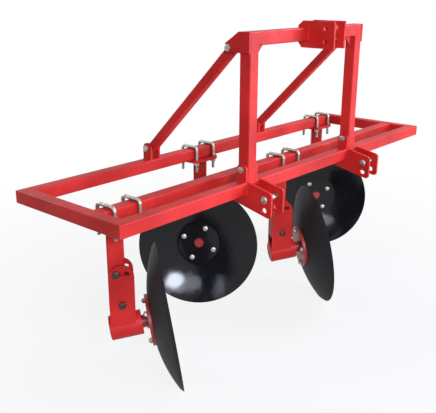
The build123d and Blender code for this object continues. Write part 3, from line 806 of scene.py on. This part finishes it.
class RIDGER_OT_hitch_pins(Operator):
    """Fit the hitch pins through the upper holes of the lower link plates"""

    bl_idname = "ridger.hitch_pins"
    bl_label = "Fit the hitch pins"

    def execute(self, context):
        fasteners = context.scene.ridger_fasteners
        low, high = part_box("hitch_pins")
        middle = (low + high) / 2
        piece = bmesh.new()
        for plates in ("left_lower_link_plates", "right_lower_link_plates"):
            left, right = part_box(plates)
            seat = towards((left.x, middle.y, middle.z), -RIGHT, BACK)
            fit_round_bolt(piece, seat, fasteners.hitch_pin / 2, fasteners.hitch_pin_head,
                           fasteners.hitch_pin_dome, right.x - left.x, fasteners.thread_steps,
                           fasteners.washer)
        finish_piece(piece, "hitch_pin_set", "frame", plated(), "zinc_plate", "hitch_pins")
        return {"FINISHED"}


class RIDGER_OT_frame_welds(Operator):
    """Run weld beads where the frame, lugs, gussets and hitch plates meet"""

    bl_idname = "ridger.frame_welds"
    bl_label = "Weld the frame"

    def execute(self, context):
        welds = context.scene.ridger_welds
        margin = welds.margin
        piece = bmesh.new()
        low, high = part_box("tool_beam")
        for x in (low.x, high.x):
            for y in (low.y, high.y):
                run_bead(piece, (x, y, low.z + margin), (x, y, high.z - margin), welds)
            top = high.z - welds.width / 2
            run_bead(piece, (x, low.y + margin, top), (x, high.y - margin, top), welds)
        for lugs, width in lug_widths(context.scene.ridger_fasteners):
            low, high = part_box(lugs)
            for x in (low.x, low.x + width, high.x - width, high.x):
                run_bead(piece, (x, low.y, low.z), (x, high.y, low.z), welds, welds.lug_bead)
        self.mast_corners(piece, welds)
        self.hitch_plates(piece, welds)
        enamel = bpy.data.materials["alkyd_enamel_sprayed_red"]
        finish_piece(piece, "frame_welds", "frame", enamel, "red_paint")
        return {"FINISHED"}

    def mast_corners(self, piece, welds):
        """Beads along both legs of the corner gussets, on both faces, and along the head plates."""
        low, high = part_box("mast_corner_gussets")
        leg = high.z - low.z
        for y in (low.y, high.y):
            for x, inward in ((low.x, 1), (high.x, -1)):
                corner = (x, y, high.z)
                run_bead(piece, (x, y, low.z), corner, welds, welds.gusset_bead)
                run_bead(piece, corner, (x + inward * leg, y, high.z), welds, welds.gusset_bead)
        low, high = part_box("brace_head_plates")
        margin, plate = welds.margin, welds.head_plate
        for upright, x in (("left_upright", low.x + plate), ("right_upright", high.x - plate)):
            front, back = (corner.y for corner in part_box(upright))
            run_bead(piece, (x, front + margin, low.z), (x, back - margin, low.z), welds, welds.plate_bead)
            run_bead(piece, (x, back, low.z), (x, back, high.z - margin), welds, welds.plate_bead)

    def hitch_plates(self, piece, welds):
        """Beads where the link plates meet the top bar and the front beam."""
        margin, size = welds.margin, welds.plate_bead
        bar_low, bar_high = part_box("mast_top_bar")
        front, back = bar_low.y, bar_high.y
        low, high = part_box("top_link_plates")
        for x in (low.x, high.x):
            for z in (bar_low.z, bar_high.z):
                run_bead(piece, (x, front + margin, z), (x, back - margin, z), welds, size)
            run_bead(piece, (x, front, bar_low.z + margin), (x, front, bar_high.z - margin), welds, size)
        beam_low, beam_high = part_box("front_beam")
        front, back, under = beam_low.y, beam_high.y, beam_low.z
        for plates in ("left_lower_link_plates", "right_lower_link_plates"):
            low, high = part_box(plates)
            for x in (low.x, low.x + welds.link_plate, high.x - welds.link_plate, high.x):
                run_bead(piece, (x, front, under + margin), (x, front, beam_high.z - margin), welds, size)
                run_bead(piece, (x, front + margin, under), (x, back - margin, under), welds, size)


class RIDGER_OT_gang_welds(Operator):
    """Run weld beads round the shanks and along the bearing tubes"""

    bl_idname = "ridger.gang_welds"
    bl_label = "Weld the gangs"

    def execute(self, context):
        welds = context.scene.ridger_welds
        fasteners = context.scene.ridger_fasteners
        half = welds.shank / 2
        reach = half - welds.shank_corner
        cheek = fasteners.cheeks / 2
        rise = sqrt((welds.tube / 2) ** 2 - cheek ** 2)
        enamel = bpy.data.materials["alkyd_enamel_sprayed_red"]
        for gang in GANGS:
            pivot, level, across, axle, axis = gang_planes(gang)
            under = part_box(f"{gang}_shank")[1].z - fasteners.clamp_plate
            middle = Vector((pivot.x, pivot.y, under)) - level * welds.shank_back
            piece = bmesh.new()
            for side in (-1, 1):
                for first, second in ((level, across), (across, level)):
                    start = middle + first * side * half - second * reach
                    run_bead(piece, start, start + second * 2 * reach, welds)
            finish_piece(piece, f"{gang}_shank_welds", f"{gang}_clamp", enamel, "red_paint")
            piece = bmesh.new()
            up = axis.cross(across) if axis.cross(across).z > 0 else across.cross(axis)
            for side in (-1, 1):
                line = axle + across * side * cheek + up * rise
                run_bead(piece, line - axis * welds.cheek_back, line + axis * welds.cheek_front, welds)
            finish_piece(piece, f"{gang}_tube_welds", f"{gang}_hanger", enamel, "red_paint")
        return {"FINISHED"}


class RIDGER_OT_stage(Operator):
    """Set the pale floor, the soft lights and the camera"""

    bl_idname = "ridger.stage"
    bl_label = "Set the stage"

    def execute(self, context):
        studio = context.scene.ridger_studio
        context.scene.view_settings.view_transform = "Standard"
        self.world(context.scene, studio)
        self.floor(context.scene, studio)
        for name in LIGHTS:
            self.lamp(context.scene, studio, name)
        self.camera(context.scene, studio)
        return {"FINISHED"}

    def seen(self, tree):
        """1 where the camera, a reflection or glass looks, and 0 where light is only gathered."""
        rays = add_node(tree, "ShaderNodeLightPath").outputs
        seen = rays["Is Camera Ray"]
        for ray in ("Is Glossy Ray", "Is Transmission Ray"):
            seen = add_node(tree, "ShaderNodeMath", {0: seen, 1: rays[ray]}, operation="MAXIMUM").outputs[0]
        return seen

    def world(self, scene, studio):
        """White where the camera or a reflection looks past the object, and a plain grey light elsewhere."""
        world = bpy.data.worlds.new("studio")
        world.use_nodes = True
        tree = world.node_tree
        tree.nodes.clear()
        white = add_node(tree, "ShaderNodeBackground", {"Color": WHITE, "Strength": 1})
        light = add_node(tree, "ShaderNodeBackground", {"Color": WHITE, "Strength": studio.ambient})
        mixed = add_node(tree, "ShaderNodeMixShader", {
            0: self.seen(tree), 1: light.outputs[0], 2: white.outputs[0],
        })
        add_node(tree, "ShaderNodeOutputWorld", {0: mixed.outputs[0]})
        scene.world = world

    def floor(self, scene, studio):
        """A wide paper floor that keeps the machine's soft shadow and is white to the camera further out."""
        bm = bmesh.new()
        bmesh.ops.create_grid(bm, x_segments=4, y_segments=4, size=studio.floor)
        mesh = bpy.data.meshes.new("floor")
        bm.to_mesh(mesh)
        bm.free()
        material, tree, output, place = new_material("studio_paper_white")
        grey = studio.paper
        paper = add_node(tree, "ShaderNodeBsdfDiffuse", {"Color": (grey, grey, grey, 1)})
        glow = add_node(tree, "ShaderNodeEmission", {"Color": WHITE, "Strength": 1})
        reach = add_node(tree, "ShaderNodeVectorMath", {0: place}, operation="LENGTH").outputs["Value"]
        white = add_node(tree, "ShaderNodeMapRange", {
            "Value": reach, "From Min": studio.pool_start, "From Max": studio.pool_end,
            "To Min": studio.pool_white,
        }).outputs[0]
        part = add_node(tree, "ShaderNodeMath", {0: self.seen(tree), 1: white},
                        operation="MULTIPLY").outputs[0]
        mixed = add_node(tree, "ShaderNodeMixShader", {0: part, 1: paper.outputs[0], 2: glow.outputs[0]})
        tree.links.new(mixed.outputs[0], output.inputs[0])
        mesh.materials.append(material)
        floor = bpy.data.objects.new("floor", mesh)
        scene.collection.objects.link(floor)

    def lamp(self, scene, studio, name):
        """A soft oval light aimed at the middle of the machine."""
        place, size = LIGHTS[name]
        data = bpy.data.lights.new(f"{name}_light", "AREA")
        data.shape, data.energy, data.color = "ELLIPSE", getattr(studio, name), studio.cool
        data.size, data.size_y = size
        lamp = bpy.data.objects.new(f"{name}_light", data)
        aim = UP * studio.aim - Vector(place)
        lamp.matrix_world = Matrix.Translation(place) @ aim.to_track_quat("-Z", "Y").to_matrix().to_4x4()
        scene.collection.objects.link(lamp)

    def camera(self, scene, studio):
        """The camera that was fitted to the photograph's frame lines."""
        data = bpy.data.cameras.new("camera")
        data.sensor_width, data.sensor_fit, data.lens = SENSOR_WIDTH, "HORIZONTAL", studio.lens
        camera = bpy.data.objects.new("camera", data)
        level = cos(studio.pitch)
        ahead = Vector((sin(studio.yaw) * level, cos(studio.yaw) * level, -sin(studio.pitch)))
        turn = ahead.to_track_quat("-Z", "Y").to_matrix().to_4x4() @ Matrix.Rotation(studio.roll, 4, "Z")
        camera.matrix_world = Matrix.Translation(Vector(studio.camera)) @ turn
        scene.collection.objects.link(camera)
        scene.camera = camera


STEPS = (
    RIDGER_OT_paint, RIDGER_OT_discs, RIDGER_OT_bearings, RIDGER_OT_u_bolts, RIDGER_OT_hanger_bolts,
    RIDGER_OT_disc_bolts, RIDGER_OT_mast_bolts, RIDGER_OT_hitch_pins, RIDGER_OT_frame_welds,
    RIDGER_OT_gang_welds, RIDGER_OT_stage,
)
GROUPS = {
    RidgerFinish: "ridger_finish", RidgerFasteners: "ridger_fasteners",
    RidgerWelds: "ridger_welds", RidgerStudio: "ridger_studio",
}


class RIDGER_PT_panel(Panel):
    """The ridger's settings and the steps that dress it"""

    bl_idname = "RIDGER_PT_panel"
    bl_label = "Disc ridger"
    bl_space_type = "VIEW_3D"
    bl_region_type = "UI"
    bl_category = "Ridger"

    def draw(self, context):
        for step in STEPS:
            self.layout.operator(step.bl_idname)
        for group, owner in GROUPS.items():
            for name in group.__annotations__:
                self.layout.prop(getattr(context.scene, owner), name)


def register():
    for group, owner in GROUPS.items():
        bpy.utils.register_class(group)
        setattr(bpy.types.Scene, owner, PointerProperty(type=group))
    for step in STEPS:
        bpy.utils.register_class(step)
    bpy.utils.register_class(RIDGER_PT_panel)


def unregister():
    bpy.utils.unregister_class(RIDGER_PT_panel)
    for step in reversed(STEPS):
        bpy.utils.unregister_class(step)
    for group, owner in GROUPS.items():
        delattr(bpy.types.Scene, owner)
        bpy.utils.unregister_class(group)


def main():
    register()
    bpy.ops.ridger.paint()
    bpy.ops.ridger.discs()
    bpy.ops.ridger.bearings()
    bpy.ops.ridger.u_bolts()
    bpy.ops.ridger.hanger_bolts()
    bpy.ops.ridger.disc_bolts()
    bpy.ops.ridger.mast_bolts()
    bpy.ops.ridger.hitch_pins()
    bpy.ops.ridger.frame_welds()
    bpy.ops.ridger.gang_welds()
    bpy.ops.ridger.stage()


if __name__ == "__main__":
    main()
